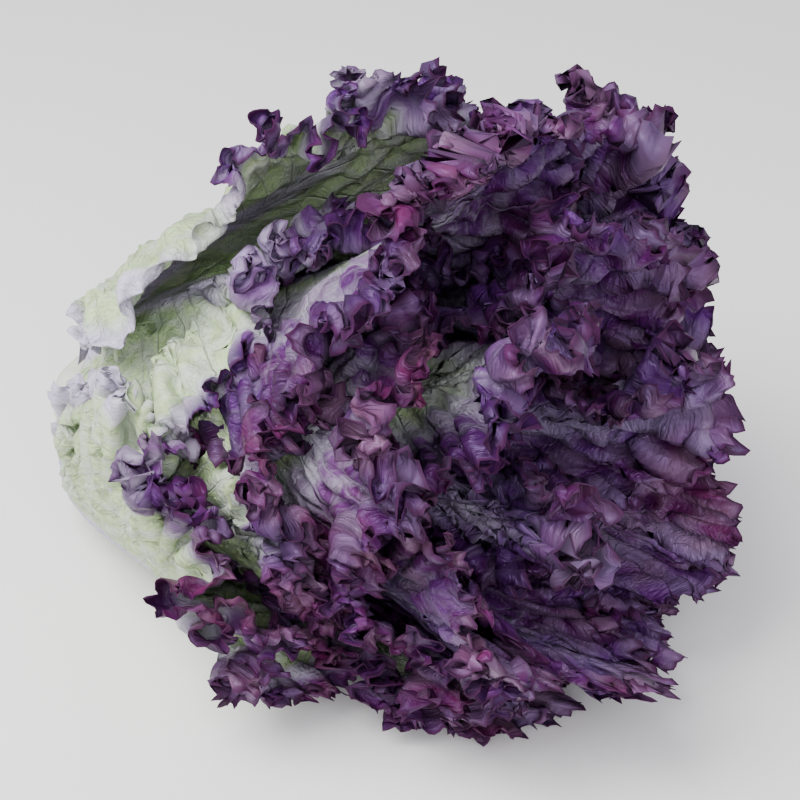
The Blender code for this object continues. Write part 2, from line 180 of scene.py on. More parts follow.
class Leaf:
    """A leaf as a sheet. Around runs along its margin, foot to foot, and out from midrib to margin."""

    def __init__(self, number, rank, length, lean, flare, root_radius, root_height):
        draw = np.random.default_rng(SEED * 100 + number)
        self.number = number
        self.rank = rank
        self.azimuth = math.radians(FIRST_AZIMUTH + number * GOLDEN_ANGLE + TURNED.get(number, 0.0))
        self.length = length * (1.0 + LENGTH_VARIES * draw.uniform(-1, 1))
        self.reach = self.length * REACH.get(number, 1.0)
        self.rib = between(INNER_RIB, OUTER_RIB, rank)
        self.fold = between(INNER_FOLD, OUTER_FOLD, rank)
        self.fade = between(INNER_FADE, OUTER_FADE, rank)
        self.frill_from = [between(*share, rank**0.3) for share in (FRILL_STARTS, FRILL_FULL)]
        self.phase = draw.uniform(0, 2 * math.pi, 4)
        self.lean = math.radians(lean)
        self.flare = math.radians(flare + FLARE_VARIES * draw.uniform(-1, 1))
        self.lay_midrib(root_radius, root_height)
        self.draw_outline()
        self.folds = round(self.perimeter / FOLD)
        self.swells = draw.uniform(0, 2 * math.pi, (SWELLS, 2))

    def lay_midrib(self, root_radius, root_height):
        """The midrib leaves the stem steeply, turns up along the head, and flares out again at its tip."""
        splay = math.radians(between(INNER_SPLAY, OUTER_SPLAY, self.rank**0.7))
        self.share = np.linspace(0.0, 1.0, SAMPLES)
        tilt = splay * np.exp(-self.share / SPLAY_FADES) + self.lean
        tilt = tilt + self.flare * ease(self.share, FLARE_FROM, FLARE_TO)
        step = self.length / (SAMPLES - 1)
        middle = (tilt[1:] + tilt[:-1]) / 2
        root = root_radius + self.rib * math.cos(splay + self.lean)
        self.radius = root + np.concatenate([[0.0], np.cumsum(np.sin(middle) * step)])
        self.height = root_height + np.concatenate([[0.0], np.cumsum(np.cos(middle) * step)])

    def draw_outline(self):
        """A spoon outline: a narrow foot that widens to a broad round top."""
        shoulder = SHOULDER * self.reach
        foot = between(INNER_FOOT, OUTER_FOOT, self.rank)
        widest_at = np.interp(WIDEST * self.reach / self.length, self.share, self.radius)
        half = min(HALF_WIDTH, widest_at * math.radians(HALF_TURN))
        up = np.linspace(0.0, 1.0, SAMPLES)
        turn = np.linspace(0.0, math.pi / 2, SAMPLES)[1:]
        side_x = foot + (half - foot) * (0.25 * up + 0.75 * ease(up, 0.0, 1.0))
        x = np.concatenate([side_x, half * np.cos(turn) ** 0.85])
        y = np.concatenate([up * shoulder, shoulder + (self.reach - shoulder) * np.sin(turn) ** 0.95])
        x = np.concatenate([-x, x[::-1][1:]])
        y = np.concatenate([y, y[::-1][1:]])
        run = running_length(np.stack([x, y], -1))
        self.perimeter = run[-1]
        self.margin_at, self.margin_x, self.margin_y = run / run[-1], x, y

    def half_angle(self, share):
        """Half the angle that the leaf spans round the head's axis at a share of its length."""
        half = len(self.margin_y) // 2 + 1
        across = np.interp(share * self.length, self.margin_y[:half], -self.margin_x[:half])
        return across / np.maximum(np.interp(share, self.share, self.radius), NEAREST_AXIS)

    def meet(self, others):
        """Find how far each other leaf's layer lies from this one's, and where the two are nearest."""
        self.outer, self.inner = [], []
        own = np.stack([self.radius, self.height], -1)
        for other in others:
            if other is self:
                continue
            theirs = np.stack([other.radius, other.height], -1)
            distance = np.linalg.norm(own[:, None] - theirs[None], axis=-1)
            pair = (other, distance.min(axis=1), self.share[distance.argmin(axis=1)])
            (self.outer if other.number < self.number else self.inner).append(pair)

    def room(self, neighbours, angle, share):
        """How far a point of this leaf may move towards its neighbours, which matter only where they lie."""
        free = np.full(share.shape, OPEN_SPACE)
        for other, distance, mate in neighbours:
            offset = np.abs((angle - other.azimuth + math.pi) % (2 * math.pi) - math.pi)
            beyond = offset - other.half_angle(np.interp(share, self.share, mate))
            halfway = np.interp(share, self.share, distance) / 2 - CLEARANCE
            opening = OPEN_SPACE * ease(beyond, BESIDE, WELL_CLEAR)
            free = np.minimum(free, np.maximum(halfway, LEAST_ROOM) + opening)
        return free

    def flat(self, around, out):
        """The point before the leaf is curved: across, along, and its distance in from the margin."""
        margin_x = np.interp(around, self.margin_at, self.margin_x)
        margin_y = np.interp(around, self.margin_at, self.margin_y)
        foot_y = np.minimum(RIB_REACH * self.reach * side_height(around) ** 1.1, 0.9 * margin_y)
        along = foot_y + (margin_y - foot_y) * out**0.85
        return margin_x * out, along, np.hypot(margin_x, margin_y - foot_y) * (1.0 - out)

    def fold_count(self, around):
        """Main folds from the foot's corner to here. They crowd and stretch a little along the margin."""
        turn = 2 * math.pi * around
        crowd = 0.0
        for (waves, amount), phase in zip(CROWDING, self.phase):
            crowd = crowd + amount * (np.sin(waves * turn + phase) - math.sin(phase))
        return self.folds * around + crowd

    def uneven(self, across, along, size):
        """A rolling unevenness, about -1 to 1, with swells of about that size."""
        total = 0.0
        for number, (bearing, phase) in enumerate(self.swells):
            stretch = 2 * math.pi / size * (0.7 + 0.075 * number)
            run = across * math.cos(bearing) + along * math.sin(bearing)
            total = total + np.sin(stretch * run + phase)
        return total / 3.0

    def puckered(self, across, along):
        """Blisters, 0 at their creases and 1 on top. A crease lies midway between two scattered spots."""
        x = across / BLISTER + 0.25 * self.uneven(across, along, 0.030)
        y = along / (BLISTER_LONGER * BLISTER) + 0.25 * self.uneven(along, across, 0.030)
        cell_x, cell_y = np.floor(x), np.floor(y)
        nearest, second = np.full(x.shape, 9.0), np.full(x.shape, 9.0)
        for step_x in (-1, 0, 1):
            for step_y in (-1, 0, 1):
                spot_x, spot_y = cell_x + step_x, cell_y + step_y
                mixed_up = np.sin(spot_x * 127.1 + spot_y * 311.7 + self.number) * 43758.5
                offset_x = 0.15 + 0.7 * (mixed_up - np.floor(mixed_up))
                offset_y = 0.15 + 0.7 * (mixed_up * 1.7 - np.floor(mixed_up * 1.7))
                apart = np.hypot(spot_x + offset_x - x, spot_y + offset_y - y)
                second = np.minimum(second, np.maximum(apart, nearest))
                nearest = np.minimum(nearest, apart)
        return ease(second - nearest, 0.0, 0.80)

    def frill_reach(self, depth, fade, power):
        """How strongly a fold shows: full at the margin, none past its fade, little at the smooth foot."""
        kept = SMOOTH_KEEPS + (1.0 - SMOOTH_KEEPS) * self.frilled
        return np.clip(1.0 - depth / fade, 0.0, 1.1) ** power * self.side * kept

    def folded(self, around, out):
        """The blade wrapped round the head, crumpled between its veins, with its main folds."""
        across, along, depth = self.flat(around, out)
        share = along / self.length
        radius = np.interp(share, self.share, self.radius)
        angle = self.azimuth + across / np.maximum(radius, NEAREST_AXIS)
        height = np.interp(share, self.share, self.height)
        sheet = np.stack([radius * np.cos(angle), radius * np.sin(angle), height], -1)
        tangent, _, square = directions(sheet)
        self.outward_room = self.room(self.outer, angle, share)
        self.inward_room = self.room(self.inner, angle, share)
        up = side_height(around)
        self.side = ease(up, *self.frill_from)
        green_to = GREEN_FEET.get(self.number, GREEN_FOOT)
        smooth_to = SMOOTH_FEET.get(self.number, SMOOTH_FOOT)
        self.wander = self.uneven(across, along, WANDER_SIZE)
        self.green = 1.0 - ease(height + GREEN_WANDERS * self.wander, green_to, green_to + GREEN_FADE)
        self.frilled = ease(height, smooth_to, smooth_to + SMOOTH_FADE)
        reach = self.frill_reach(depth, self.fade, 1.5)
        turn = 2 * math.pi * self.fold_count(around) + 0.7 * self.uneven(across, along, 0.060)
        swell = 1.0 + FOLD_VARIES * np.sin(10 * math.pi * around + self.phase[3])
        rise = self.fold * reach * (swell * np.sin(turn) + FOLD_LEANS)
        rise = kept_in(rise, self.outward_room, self.inward_room)
        self.blisters = self.puckered(across, along)
        crumple = DENT[0] * self.uneven(across, along, DENT[1])
        crumple = crumple + SMALL_DENT[0] * self.uneven(along, across, SMALL_DENT[1])
        crumple = crumple - BLISTER_RISE * (self.blisters - 0.5)
        crumple = crumple * ease(out, 0.05, 0.25) * ease(up, 0.02, 0.20)
        rise += kept_in(crumple, self.outward_room, self.inward_room)
        sideways = FOLD_MEANDERS * self.perimeter / (2 * math.pi * self.folds)
        meander = sideways * reach**1.3 * np.sin(2 * turn)
        self.outward_room = np.maximum(self.outward_room - rise, ROOM_LEFT)
        self.inward_room = np.maximum(self.inward_room + rise, ROOM_LEFT)
        return sheet + rise[..., None] * square - meander[..., None] * tangent

    def ruffled(self, sheet, depth):
        """The second frill, which follows the folds of the first."""
        tangent, _, square = directions(sheet)
        run = running_length(sheet[:, -1])[:, None]
        reach = self.frill_reach(depth, RUFFLE_FADE, 1.3)
        turn = 2 * math.pi * run / RUFFLE + 1.3 * np.sin(run * 61 + self.phase[0])
        turn = turn + 1.4 * self.wander + 1.1 * np.sin(2 * math.pi * depth / 0.040 + 2.0 * self.wander)
        swell = 1 + RUFFLE_VARIES * np.sin(run * 97 + self.phase[2])
        rise = RUFFLE_RISE * reach * (swell * np.sin(turn) + RUFFLE_LEANS)
        rise = kept_in(rise, self.outward_room, self.inward_room)
        self.crest = 0.5 + 0.5 * rise / RUFFLE_RISE
        meander = RUFFLE_MEANDERS * RUFFLE / (2 * math.pi) * reach**1.3 * np.sin(2 * turn)
        return sheet + rise[..., None] * square - meander[..., None] * tangent

    def pointed(self, sheet, depth, column):
        """The edge itself: a fine crimp, its lobes, and sharp teeth on them."""
        _, outward, square = directions(sheet)
        run = running_length(sheet[:, -1])[:, None]
        wander = 0.35 * np.sin(run * 133 + self.phase[3]) + 0.2 * np.sin(run * 311)
        crimp = CRIMP_RISE * np.clip(1.0 - depth / CRIMP_FADE, 0.0, 1.05) ** 1.2 * self.side
        crimp = crimp * self.frilled * np.sin(2 * math.pi * (run / CRIMP + wander))
        lobe = (1.0 - np.abs(np.sin(math.pi * (run / LOBE + wander)))) ** 1.5
        lobe = lobe * LOBE_LENGTH * (0.7 + 0.3 * np.sin(run * 57 + self.phase[1]))
        lobe = lobe * np.clip(1.0 - depth / LOBE_FADE, 0.0, 1.05) ** 1.4
        tooth = np.abs(2.0 * (column / TOOTH_COLUMNS % 1.0) - 1.0) ** 1.8
        varied = 0.65 + 0.35 * np.sin(2.4 * np.round(column / TOOTH_COLUMNS) + self.phase[2])
        tooth = tooth * (TOOTH_LENGTH * varied) * np.clip(1.0 - depth / TOOTH_FADE, 0.0, 1.05) ** 1.4
        point = (lobe + tooth) * self.frilled * (1.0 - 0.5 * self.green)
        return sheet + crimp[..., None] * square + point[..., None] * outward

    def made(self, columns, rows):
        """The finished sheet as grids: its points, what the finish has to know there, and its thickness."""
        fine = np.linspace(0.0, 1.0, FINE_SAMPLES)
        edge_around = np.repeat(fine[:, None], 2, axis=1)
        edge_out = np.tile([[0.97, 1.0]], (FINE_SAMPLES, 1))
        margin = self.folded(edge_around, edge_out)
        steps = np.linalg.norm(np.diff(margin[:, -1], axis=0), axis=1)
        steps = np.clip(steps, SHORT_STEP * np.median(steps), LONG_STEP * np.median(steps))
        run = np.concatenate([[0.0], np.cumsum(steps)])
        place = np.linspace(0.0, 1.0, columns + 1)[:, None]
        out = 1.0 - (1.0 - np.linspace(0.0, 1.0, rows + 1)[None]) ** ROWS_CROWD_OUT
        around = place + (np.interp(place * run[-1], run, fine) - place) * ease(out, 0.0, 0.6)
        out = out + 0.0 * place
        across, along, depth = self.flat(around, out)
        column = np.arange(columns + 1)[:, None]
        sheet = self.pointed(self.ruffled(self.folded(around, out), depth), depth, column)
        ridge = np.exp(-((across / RIB_WIDTH) ** 2))
        ridge = ridge * np.clip(1.0 - along / (RIB_ENDS * self.length), 0.0, 1.0)
        thickness = LEAF_THICKNESS + (self.rib - LEAF_THICKNESS) * ridge
        thickness *= RIM_THICKNESS + (1.0 - RIM_THICKNESS) * ease(depth, 0.0, RIM_WIDTH)
        facts = {
            "rim": depth,
            "rib": np.abs(across),
            "up": along / self.length,
            "tone": depth / PALE_LEAVES.get(self.number, RED_REACH),
            "foot": self.green,
            "pucker": self.blisters,
            "crest": self.crest,
            "warm": np.full(depth.shape, WARM_LEAVES.get(self.number, WARM)),
            "lane": side_height(around),
            "plane_x": across,
            "plane_y": along,
        }
        return sheet, facts, thickness


def pressed(points):
    """The head out of round: pressed in underneath, longer there, and fuller at the back of its crown."""
    radius = np.hypot(points[..., 0], points[..., 1])
    azimuth = np.arctan2(points[..., 1], points[..., 0])
    down = (0.5 + 0.5 * np.cos(azimuth)) ** 1.5 * ease(radius, PRESS_STARTS, PRESS_FULL)
    back = (0.5 + 0.5 * np.cos(azimuth - math.radians(FULLER_AT))) ** 2 * ease(points[..., 2], 0.06, 0.15)
    squeeze = (1.0 - PRESSED_IN * down) * (1.0 + FULLER * back)
    stretch = 1.0 + PUSHED_ON * down * ease(points[..., 2], 0.04, 0.16)
    return points * np.stack([squeeze, squeeze, stretch], -1)


def laid(points):
    """Points of the standing head where they end up, on its side on the table."""
    matrix = np.array(Matrix.Translation(BUTT) @ Matrix.Rotation(math.radians(90.0 - AXIS_RISE), 4, "Y"))
    placed = pressed(points) @ matrix[:3, :3].T + matrix[:3, 3]
    placed[..., 2] += SINK * (1.0 - ease(placed[..., 2], -SINK, 4 * SINK))
    return placed


def piece_from(name, bm):
    """A piece in the scene with that mesh, its place in its mesh."""
    mesh = bpy.data.meshes.new(name)
    bm.to_mesh(mesh)
    bm.free()
    mesh.shade_smooth()
    piece = bpy.data.objects.new(name, mesh)
    bpy.context.scene.collection.objects.link(piece)
    return piece


def blade(name, leaf, columns, rows):
    """One leaf as a piece: a grid folded along the midrib, shaped, and thickened on its outer face."""
    sheet, facts, thickness = leaf.made(columns, rows)
    sheet = laid(sheet)
    sheet[..., 2] = np.maximum(sheet[..., 2], LOWEST)
    sheet[..., 2] -= TOP_SETTLES * np.maximum(sheet[..., 2] - SETTLES_FROM, 0.0)
    bm = bmesh.new()
    bmesh.ops.create_grid(bm, x_segments=columns // COLUMN_BLOCK, y_segments=rows, size=0.5)
    for fine_rows in FINE_ROWS:
        fine_from = 0.5 - (fine_rows + 0.5) / rows
        near = [edge for edge in bm.edges if min(vertex.co.y for vertex in edge.verts) > fine_from]
        margin = [edge for edge in near if abs(edge.verts[0].co.y - edge.verts[1].co.y) < TINY]
        bmesh.ops.subdivide_edges(bm, edges=margin, cuts=1, use_grid_fill=True)
    grid = np.array([vertex.co[:2] for vertex in bm.verts]) + 0.5
    at = (np.rint(grid[:, 0] * columns).astype(int), np.rint(grid[:, 1] * rows).astype(int))
    weights = bm.verts.layers.deform.verify()
    layers = [(bm.verts.layers.float.new(fact), values[at].tolist()) for fact, values in facts.items()]
    placed = zip(bm.verts, sheet[at].tolist(), thickness[at].tolist())
    for index, (vertex, point, depth) in enumerate(placed):
        vertex.co = point
        vertex[weights][0] = depth / leaf.rib
        for layer, values in layers:
            vertex[layer] = values[index]
    bmesh.ops.remove_doubles(bm, verts=bm.verts, dist=TINY)
    piece = piece_from(name, bm)
    piece.vertex_groups.new(name="thickness")
    thicken = piece.modifiers.new("thicken", "SOLIDIFY")
    thicken.thickness = leaf.rib
    thicken.offset = 1.0
    thicken.vertex_group = "thickness"
    thicken.use_even_offset = False
    return piece


def stem_radius_at(height):
    """The stem's radius at a height above its cut."""
    return between(STEM_RADIUS, STEM_TIP_RADIUS, height / STEM_LENGTH)


def large_leaf(number):
    """A large leaf by its number from 0, the outermost."""
    rank = 1.0 - number / (LEAF_COUNT - 1)
    height = between(HIGHEST_ROOT, LOWEST_ROOT, rank)
    opened = rank**LEAN_CURVE
    lean = between(INNER_LEAN, OUTER_LEAN, opened) + FALLEN_OPEN.get(number, 0.0)
    flare = between(INNER_FLARE, OUTER_FLARE, opened)
    length = between(INNER_LENGTH, OUTER_LENGTH, rank)
    return Leaf(number, rank, length, lean, flare, stem_radius_at(height) + ROOT_PROUD, height)


# The heart's small leaves are laid out here as well, because each leaf gives way to all the others.
HEART_LEAVES, HEART_LENGTH, HEART_LEAN, HEART_FLARE = 3, 0.118, (-3.0, 0.0), 10.0
HEART_ROOT, ROOT_STEP, HEART_RADIUS = 0.0665, 0.004, 0.0028


def heart_leaf(number):
    """A leaf of the heart by its number from 0."""
    height = HEART_ROOT + ROOT_STEP * number
    lean = between(*HEART_LEAN, 1.0 - number / (HEART_LEAVES - 1))
    return Leaf(LEAF_COUNT + number, 0.0, HEART_LENGTH, lean, HEART_FLARE, HEART_RADIUS, height)


leaves = [large_leaf(number) for number in range(LEAF_COUNT)]
leaves += [heart_leaf(number) for number in range(HEART_LEAVES)]
for leaf in leaves:
    leaf.meet(leaves)

# The leaves' finish: a lilac-white rib, and a pale green foot that turns grey lilac and then dark purple
# towards the frill, darkest along the very edge. Its hollows are darkened by painted shade, partly a deeper
# purple there. The skin is damp, finely veined and wrinkled. Veins and cells follow the flat blade, because
# they grow in it.
BLADE_STOPS = (
    (0.0, (0.066, 0.004, 0.046)),
    (0.16, (0.062, 0.005, 0.070)),
    (0.38, (0.074, 0.013, 0.108)),
    (0.56, (0.170, 0.075, 0.200)),
    (0.74, (0.400, 0.390, 0.410)),
    (0.88, (0.370, 0.520, 0.220)),
    (1.0, (0.460, 0.630, 0.290)),
)
TISSUE_COLOURS = {
    "Rib": (0.50, 0.43, 0.59, 1.0),
    "Veins": (0.54, 0.58, 0.54, 1.0),
    "Edge": (0.030, 0.001, 0.018, 1.0),
    "Wine dye": (0.115, 0.009, 0.048, 1.0),
    "Violet dye": (0.048, 0.012, 0.105, 1.0),
    "Mottling": (0.040, 0.012, 0.052, 1.0),
    "Specks": (0.10, 0.05, 0.12, 1.0),
    # Painted shade for the frill's hollows, partly a deeper purple.
    "Painted hollow shade": (0.018, 0.005, 0.028, 1.0),
}
TISSUE_GIVES = {"Colour": "NodeSocketColor", "Roughness": "NodeSocketFloat", "Relief": "NodeSocketFloat"}
CLOUD_SCALE, HUE_SCALE, SPECK_SCALE = 28.0, 45.0, 420.0
CELL_SCALE, CELLS_BEND, CELL_WANDER = 130.0, 60.0, 0.006
WRINKLE_SCALE, VEIN_LANES = 520.0, 15.0
DAMP, DRY, EDGE_DRIER = 0.32, 0.48, 0.4
SKIN_SPECULAR, SKIN_TINT = 0.38, (0.76, 0.58, 1.0, 1.0)
RELIEF_STRENGTH, RELIEF_HEIGHT = 0.8, 0.0016


def node(tree, kind, inputs=None, **settings):
    """A shader node with its settings, and its inputs by number or name: a value or a node's socket."""
    made = tree.nodes.new("ShaderNode" + kind)
    for setting, value in settings.items():
        setattr(made, setting, value)
    for key, value in (inputs or {}).items():
        if isinstance(value, bpy.types.NodeSocket):
            tree.links.new(value, made.inputs[key])
        else:
            made.inputs[key].default_value = value
    return made


def ramp(tree, source, stops):
    """A colour ramp through (position, colour) stops."""
    made = node(tree, "ValToRGB", {0: source})
    elements = made.color_ramp.elements
    while len(elements) < len(stops):
        elements.new(0.5)
    for element, (position, colour) in zip(elements, stops):
        element.position = position
        element.color = (*colour, 1.0)
    return made.outputs["Color"]


def maths(tree, operation, *values, clamp=False):
    """The result of a sum, product or the like of its values."""
    return node(tree, "Math", dict(enumerate(values)), operation=operation, use_clamp=clamp).outputs[0]


def times(tree, one, other):
    """The product of two values."""
    return maths(tree, "MULTIPLY", one, other)


def attribute(tree, name):
    """What the mesh says of a point under that name."""
    return node(tree, "Attribute", attribute_name=name).outputs["Fac"]


def fade(tree, value, low, high, first=0.0, last=1.0):
    """A smooth change from one number to another as the value goes from low to high."""
    inputs = {"Value": value, "From Min": low, "From Max": high, "To Min": first, "To Max": last}
    return node(tree, "MapRange", inputs, interpolation_type="SMOOTHSTEP").outputs[0]


def mixed(tree, factor, one, other):
    """One colour going over into another with the factor."""
    return node(tree, "Mix", {0: factor, 6: one, 7: other}, data_type="RGBA", blend_type="MIX").outputs[2]


def noise(tree, place, scale, detail, inputs=None, **settings):
    """A cloudy pattern, about 0.5 on average."""
    inputs = {"Vector": place, "Scale": scale, "Detail": detail, **(inputs or {})}
    return node(tree, "TexNoise", inputs, **settings).outputs["Fac"]


def new_finish(name):
    """An empty material with its node tree and its shader."""
    material = bpy.data.materials.new(name)
    material.use_nodes = True
    return material, material.node_tree, material.node_tree.nodes["Principled BSDF"]


def leaf_tissue():
    """The node group of a leaf's tissue: its colour with painted shade in the frill's hollows, how dry its
    skin is, and its relief.
    """
    tree = bpy.data.node_groups.new("leaf_tissue", "ShaderNodeTree")
    for name in TISSUE_COLOURS:
        tree.interface.new_socket(name, in_out="INPUT", socket_type="NodeSocketColor")
    for name, kind in TISSUE_GIVES.items():
        tree.interface.new_socket(name, in_out="OUTPUT", socket_type=kind)
    given = tree.nodes.new("NodeGroupInput").outputs
    gives = tree.nodes.new("NodeGroupOutput").inputs
    rim, rib, up, lane, foot = (attribute(tree, fact) for fact in ("rim", "rib", "up", "lane", "foot"))
    pucker, crest = attribute(tree, "pucker"), attribute(tree, "crest")
    place = node(tree, "TexCoord").outputs["Object"]
    across, along = attribute(tree, "plane_x"), attribute(tree, "plane_y")
    plane = node(tree, "CombineXYZ", {"X": across, "Y": along}).outputs[0]

    # Patterns: clouds, specks, cells between the finest veins, and the veins themselves.
    cloud = noise(tree, place, CLOUD_SCALE, 4.0, {"Roughness": 0.6})
    unevenly = maths(tree, "SUBTRACT", cloud, 0.5)
    speck = noise(tree, place, SPECK_SCALE, 3.0)
    hue = noise(tree, place, HUE_SCALE, 2.0)
    bent = noise(tree, plane, CELLS_BEND, 2.0, noise_dimensions="2D").node.outputs["Color"]
    wander = (CELL_WANDER, CELL_WANDER, 0.0)
    wandering = node(tree, "VectorMath", {0: bent, 1: wander}, operation="MULTIPLY").outputs[0]
    warped = node(tree, "VectorMath", {0: plane, 1: wandering}, operation="ADD").outputs[0]
    cells = {"Vector": warped, "Scale": CELL_SCALE}
    blister = node(tree, "TexVoronoi", cells, voronoi_dimensions="2D").outputs["Distance"]
    to_edge = node(tree, "TexVoronoi", cells, voronoi_dimensions="2D", feature="DISTANCE_TO_EDGE")
    net = fade(tree, to_edge.outputs["Distance"], 0.0, 0.10, 1.0, 0.0)
    stripe = maths(tree, "PINGPONG", times(tree, lane, VEIN_LANES), 0.5)
    vein = fade(tree, maths(tree, "ADD", stripe, times(tree, unevenly, 0.10)), 0.0, 0.07, 1.0, 0.0)

    # Tone: 0 where the red is deepest, 1 where the blade is green.
    reddened = maths(tree, "ADD", attribute(tree, "tone"), times(tree, unevenly, 0.55))
    tone = maths(tree, "ADD", reddened, foot, clamp=True)
    warm = times(tree, attribute(tree, "warm"), fade(tree, tone, 0.25, 0.60, 0.8, 0.1))
    dyed = mixed(tree, warm, ramp(tree, tone, BLADE_STOPS), given["Wine dye"])
    violet = times(tree, fade(tree, hue, 0.35, 0.65), fade(tree, tone, 0.3, 0.7, 0.65, 0.0))
    dyed = mixed(tree, violet, dyed, given["Violet dye"])

    # Over it lie mottling, veins and creases, the rib and the smooth hem, specks, painted shade in the
    # hollows, and the edge.
    dusky = times(tree, fade(tree, blister, 0.1, 0.7, 0.0, 0.30), fade(tree, tone, 0.6, 1.0, 1.0, 0.3))
    mottled = mixed(tree, dusky, dyed, given["Mottling"])
    creased = times(tree, fade(tree, pucker, 0.0, 0.45, 1.0, 0.0), fade(tree, tone, 0.15, 0.85, 0.08, 0.50))
    threads = maths(tree, "MAXIMUM", vein, times(tree, net, 0.6))
    threads = times(tree, threads, fade(tree, tone, 0.1, 0.8, 0.06, 0.36))
    veined = mixed(tree, maths(tree, "MAXIMUM", threads, creased), mottled, given["Veins"])
    band = times(tree, fade(tree, rib, 0.003, 0.009, 1.0, 0.0), fade(tree, up, 0.35, 0.85, 1.0, 0.1))
    hem = times(tree, fade(tree, rim, 0.004, 0.013, 0.75, 0.0), fade(tree, foot, 0.8, 1.0))
    ribbed = mixed(tree, maths(tree, "MAXIMUM", band, hem), veined, given["Rib"])
    specked = mixed(tree, fade(tree, speck, 0.45, 0.75, 0.0, 0.20), ribbed, given["Specks"])
    # Painted shade: low in the frill's valleys the colour darkens to near-black violet, partly as shade and
    # partly as a deeper purple.
    valley_shade = times(tree, fade(tree, crest, 0.05, 0.60, 0.75, 0.0), fade(tree, tone, 0.2, 0.9, 1.0, 0.15))
    shaded = mixed(tree, valley_shade, specked, given["Painted hollow shade"])
    edge = times(tree, fade(tree, rim, 0.0002, 0.0012, 1.0, 0.0), fade(tree, foot, 0.2, 0.8, 1.0, 0.1))
    tree.links.new(mixed(tree, times(tree, edge, 0.8), shaded, given["Edge"]), gives["Colour"])

    # The skin: drier at its edge, sunk along its veins and creases, and finely wrinkled.
    dryness = maths(tree, "ADD", fade(tree, speck, 0.3, 0.7, DAMP, DRY), times(tree, edge, EDGE_DRIER))
    tree.links.new(dryness, gives["Roughness"])
    wrinkle = noise(tree, plane, WRINKLE_SCALE, 3.0, {"Distortion": 1.2}, noise_dimensions="2D")
    relief = maths(tree, "SUBTRACT", times(tree, blister, -1.0), times(tree, vein, 0.5))
    relief = maths(tree, "ADD", relief, times(tree, wrinkle, 0.8))
    relief = maths(tree, "SUBTRACT", relief, times(tree, pucker, 1.4))
    tree.links.new(relief, gives["Relief"])
    return tree


tissue_group = leaf_tissue()


def leaf_finish(name, colours):
    """A leaf's finish: the tissue in its colours, under a damp skin that shines violet."""
    material, tree, shader = new_finish(name)
    tissue = node(tree, "Group", colours, node_tree=tissue_group).outputs
    tree.links.new(tissue["Colour"], shader.inputs["Base Color"])
    tree.links.new(tissue["Roughness"], shader.inputs["Roughness"])
    shader.inputs["Specular IOR Level"].default_value = SKIN_SPECULAR
    shader.inputs["Specular Tint"].default_value = SKIN_TINT
    bump = {"Strength": RELIEF_STRENGTH, "Distance": RELIEF_HEIGHT, "Height": tissue["Relief"]}
    tree.links.new(node(tree, "Bump", bump).outputs[0], shader.inputs["Normal"])
    return material


leaf_red = leaf_finish("leaf_red", TISSUE_COLOURS)
for leaf in leaves[:LEAF_COUNT]:
    name = f"leaf_{leaf.number + 1:02d}"
    columns = COLUMN_BLOCK * round(leaf.perimeter * between(INNER_COLUMNS, OUTER_COLUMNS, leaf.rank))
    rows = MANY_ROWS if leaf.number < MANY_ROWS_UNTIL else FEW_ROWS
    piece = blade(name + "_frilled", leaf, columns, rows)
    piece.data.materials.append(leaf_red)
    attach(piece, "root")
    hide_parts(name)

# The heart: three small upright leaves, tightly frilled, round the tip of the stem. They are the youngest
# leaves, of the same tissue as the large ones, and stand for the one solid that has them grown together.
HEART_ROWS = 20
heart_red = leaf_finish("heart_red", TISSUE_COLOURS)
for leaf in leaves[LEAF_COUNT:]:
    columns = COLUMN_BLOCK * round(leaf.perimeter * INNER_COLUMNS)
    piece = blade(f"heart_leaf_{leaf.number - LEAF_COUNT + 1}", leaf, columns, HEART_ROWS)
    piece.data.materials.append(heart_red)
    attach(piece, "root")
    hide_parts("heart")

# The stem: a short stout taper of firm pale flesh, cut straight across with a knife. The cut has a damp pith
# and a rust-coloured ring where it has dried. Faint scars circle it where older leaves were picked off.
STEM_STEPS, STEM_RINGS, FIRST_RING, SKIN_IN = 80, 40, 0.0016, 0.0002
CUT_PROFILE = (
    (0.0, 0.0007),
    (0.0040, 0.0006),
    (0.0080, 0.0003),
    (0.0120, 0.0001),
    (0.0142, 0.0),
    (0.0152, 0.0004),
)
CUT_DEPTH, FLESH_SHRINKS = 0.002, 0.0003
SCAR_EVERY, SCAR_RISE = 0.0052, 0.0005
RIDGES, RIDGE_TWIST, RIDGE_RISE = 7, 90, 0.0004
KNIFE_MARK, KNIFE_ACROSS, KNIFE_ALONG = 0.00012, 900, 700
CUT_STOPS = (
    (0.0, (0.50, 0.52, 0.34)),
    (0.45, (0.60, 0.58, 0.42)),
    (0.72, (0.42, 0.26, 0.16)),
    (0.85, (0.50, 0.42, 0.30)),
    (1.0, (0.56, 0.58, 0.44)),
)
GREEN_SIDE, LILAC_SIDE = (0.52, 0.58, 0.40, 1.0), (0.66, 0.62, 0.58, 1.0)
BLOTCH_SCALE, FIBRE_SCALE = 160.0, 900.0

heights = np.linspace(FIRST_RING, STEM_LENGTH - 0.001, STEM_RINGS)
profile = list(CUT_PROFILE) + [(stem_radius_at(height) - SKIN_IN, height) for height in heights]
profile += [(0.6 * STEM_TIP_RADIUS, STEM_LENGTH - 0.0003), (0.0, STEM_LENGTH - 0.0001)]
bm = bmesh.new()
corners = [bm.verts.new((radius, 0.0, height)) for radius, height in profile]
edges = [bm.edges.new(pair) for pair in zip(corners, corners[1:])]
bmesh.ops.spin(
    bm,
    geom=corners + edges,
    cent=(0, 0, 0),
    axis=(0, 0, 1),
    dvec=(0, 0, 0),
    angle=2 * math.pi,
    steps=STEM_STEPS,
    use_merge=True,
)
bmesh.ops.remove_doubles(bm, verts=bm.verts, dist=TINY)
bmesh.ops.recalc_face_normals(bm, faces=bm.faces)
from_middle = bm.verts.layers.float.new("from_middle")
from_cut = bm.verts.layers.float.new("from_cut")
